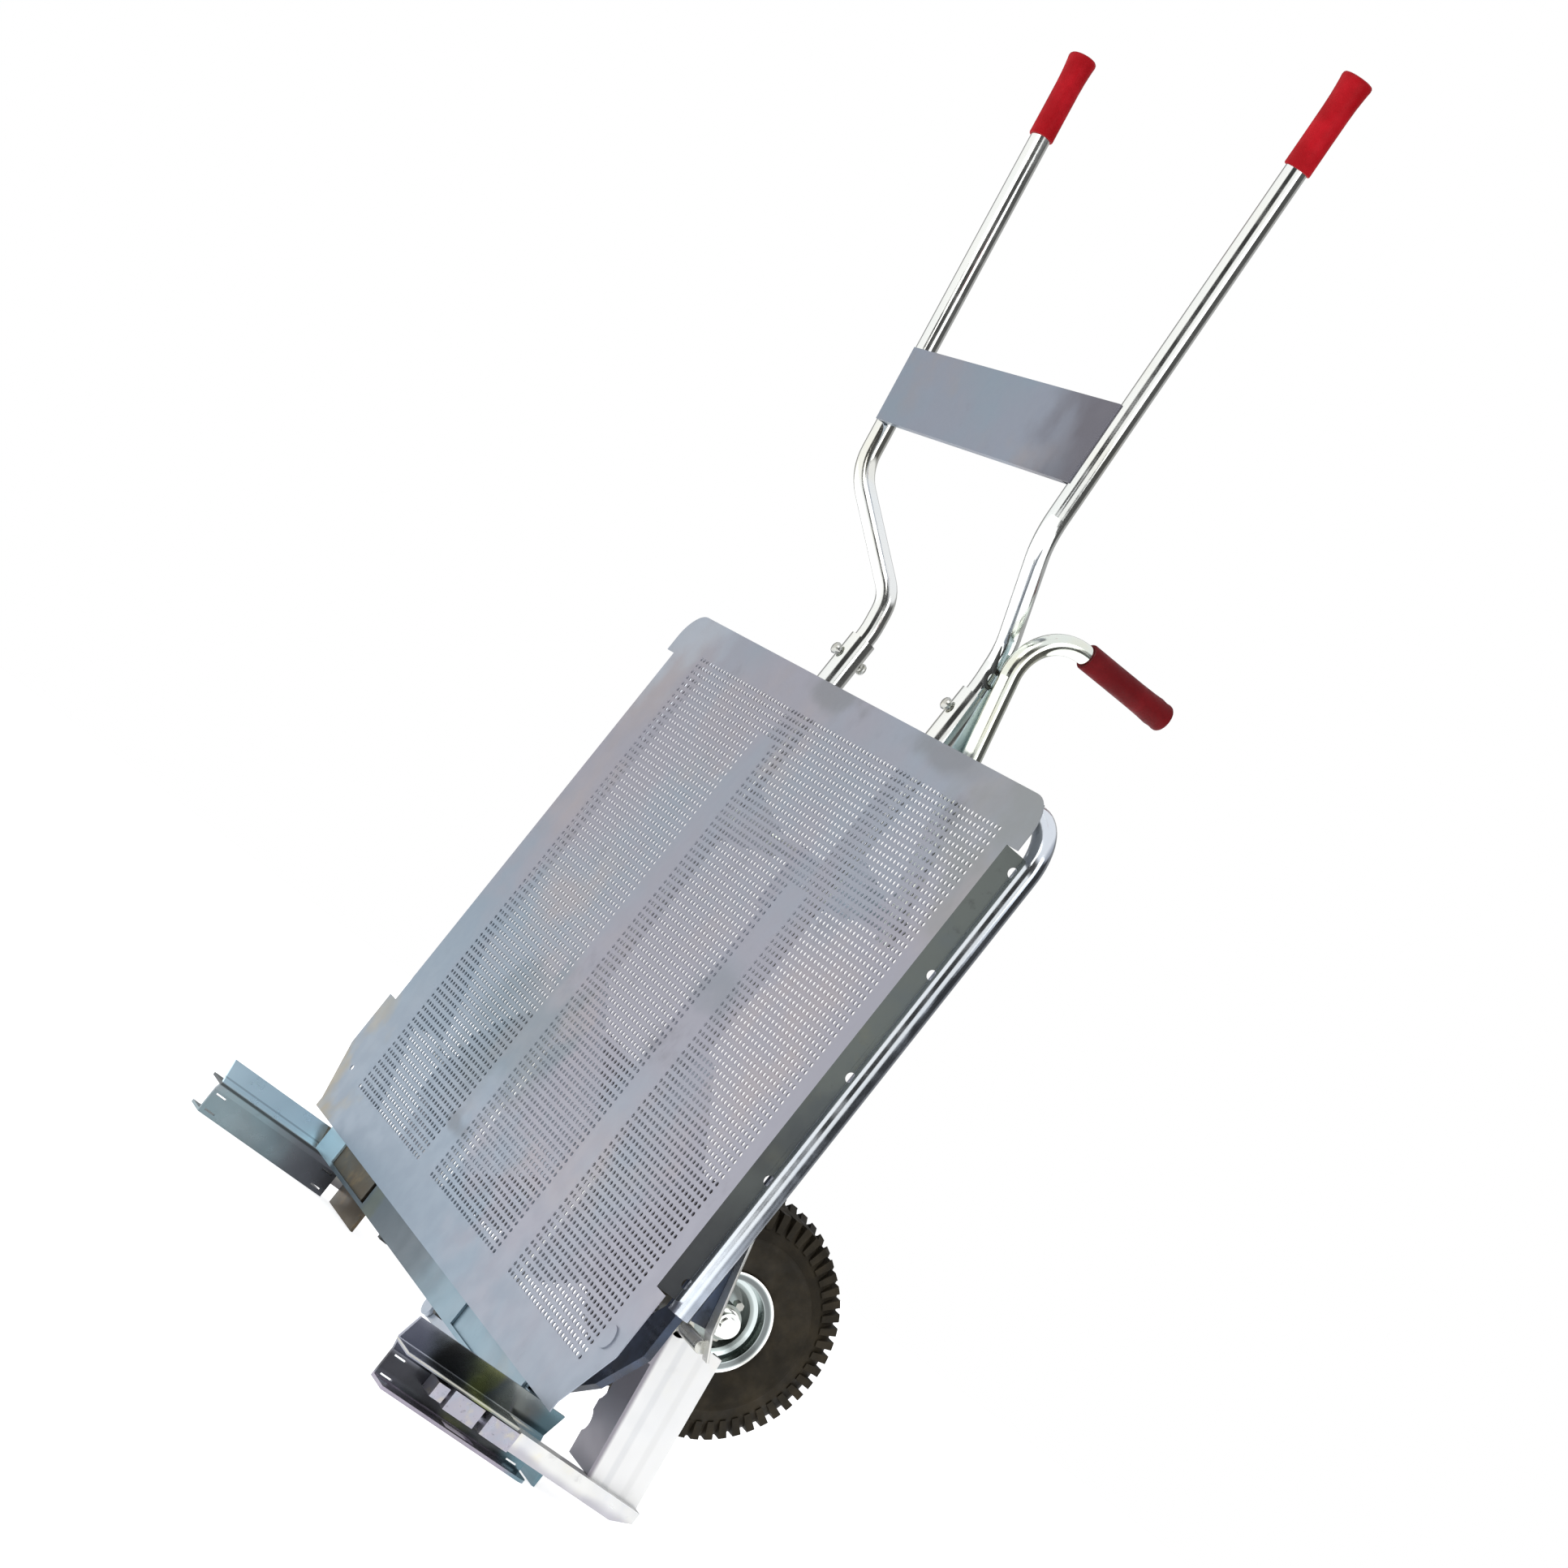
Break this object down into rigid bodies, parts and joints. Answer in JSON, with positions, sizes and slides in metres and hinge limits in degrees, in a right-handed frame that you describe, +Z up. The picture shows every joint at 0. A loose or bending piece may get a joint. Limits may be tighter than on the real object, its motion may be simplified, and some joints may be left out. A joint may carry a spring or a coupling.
{
  "type": "brick cart",
  "caption": "Upright two-wheeled cart for stacked bricks: sheet steel back panel in a tube frame, sliding foot jaws worked by a hand lever, and long red-gripped handles.",
  "frame": {"origin": "middle of the cart's bounding box at the ground, with the cart standing upright on its jaw soles", "axes": "+X is the cart's right, the side with the lever; +Y is the rear, where the wheels are; +Z is up"},
  "size_m": [1.084, 0.4993, 1.7575],
  "materials": {
    "panel": "zinc plated sheet, lightly iridescent",
    "tube": "bright zinc plated tube",
    "plate": "zinc plated flat steel",
    "jaw": "zinc plated, blue-grey",
    "shaft": "bright turned steel",
    "bolt": "plated bolts",
    "rim": "bright pressed rim",
    "bearing": "turned steel",
    "tyre": "matte black rubber",
    "grip": "red textured grip",
    "lever_grip": "dark red textured grip"
  },
  "bodies": {
    "frame": {"panel": "panel", "panel_plug": "panel", "top_tube": "tube", "cross_beam": "tube", "clamp_bolts": "bolt", "limit_bolts": "bolt", "axle": "shaft", "axle_spacers": "shaft", "axle_stops": "shaft", "crank_pivot": "shaft", "lever_guide": "tube", "side_tube_left": "tube", "side_tube_right": "tube", "back_rail_left": "tube", "back_rail_right": "tube", "corner_brace_left": "tube", "corner_brace_right": "tube", "axle_bracket_left": "plate", "axle_bracket_right": "plate", "gusset_left": "plate", "gusset_right": "plate", "guide_pin_left": "shaft", "guide_pin_right": "shaft", "shaft_bearing_left": "plate", "shaft_bearing_right": "plate"},
    "lever": {"lever_tube": "tube", "lever_shaft": "shaft", "lever_grip": "lever_grip", "drive_arm": "plate"},
    "pull_rod": {"pull_rod": "plate"},
    "crank": {"crank": "plate"},
    "handles": {"handle_left": "tube", "handle_right": "tube", "handle_grip_left": "grip", "handle_grip_right": "grip", "cross_plate": "plate"},
    "wheel_left": {"tyre_left": "tyre", "rim_left": "rim", "wheel_bearings_left": "bearing", "rim_bolts_left": "bolt"},
    "jaw_left": {"jaw_left": "jaw", "jaw_arm_left": "jaw", "jaw_bar_left": "jaw", "jaw_blocks_left": "jaw", "upright_left": "plate", "guide_bush_left": "shaft", "stop_plate_left": "plate", "tie_left": "plate"},
    "wheel_right": {"tyre_right": "tyre", "rim_right": "rim", "wheel_bearings_right": "bearing", "rim_bolts_right": "bolt"},
    "jaw_right": {"jaw_right": "jaw", "jaw_arm_right": "jaw", "jaw_bar_right": "jaw", "jaw_blocks_right": "jaw", "upright_right": "plate", "guide_bush_right": "shaft", "stop_plate_right": "plate", "tie_right": "plate"}
  },
  "joints": [
    {"name": "lever_swing", "type": "hinge", "parent": "frame", "child": "lever", "pos_m": [0.216, 0.03369, 0.72], "axis": [-1, 0, 0], "range_deg": [0, 30]},
    {"name": "rod_lift", "type": "slide", "parent": "frame", "child": "pull_rod", "axis": [0, 0, 1], "range_m": [0, 0.0301]},
    {"name": "crank_turn", "type": "hinge", "parent": "frame", "child": "crank", "pos_m": [0, -0.02031, 0.075], "axis": [0, -1, 0], "range_deg": [0, 33.8]},
    {"name": "jaw_left_slide", "type": "slide", "parent": "frame", "child": "jaw_left", "axis": [-1, 0, 0], "range_m": [0, 0.0251]},
    {"name": "jaw_right_slide", "type": "slide", "parent": "frame", "child": "jaw_right", "axis": [1, 0, 0], "range_m": [0, 0.0251]},
    {"name": "handles_lift", "type": "slide", "parent": "frame", "child": "handles", "axis": [0, 0, 1], "range_m": [0, 0.1]},
    {"name": "wheel_left_spin", "type": "hinge", "parent": "frame", "child": "wheel_left", "pos_m": [-0.322, 0.10169, 0.253], "axis": [1, 0, 0], "continuous": true},
    {"name": "wheel_right_spin", "type": "hinge", "parent": "frame", "child": "wheel_right", "pos_m": [0.322, 0.10169, 0.253], "axis": [1, 0, 0], "continuous": true}
  ],
  "couplings": [
    {"joint": "rod_lift", "follows": "lever_swing", "m_per_rad": 0.057296},
    {"joint": "crank_turn", "follows": "lever_swing", "ratio": 1.125},
    {"joint": "jaw_left_slide", "follows": "lever_swing", "m_per_rad": 0.047746},
    {"joint": "jaw_right_slide", "follows": "lever_swing", "m_per_rad": 0.047746}
  ]
}
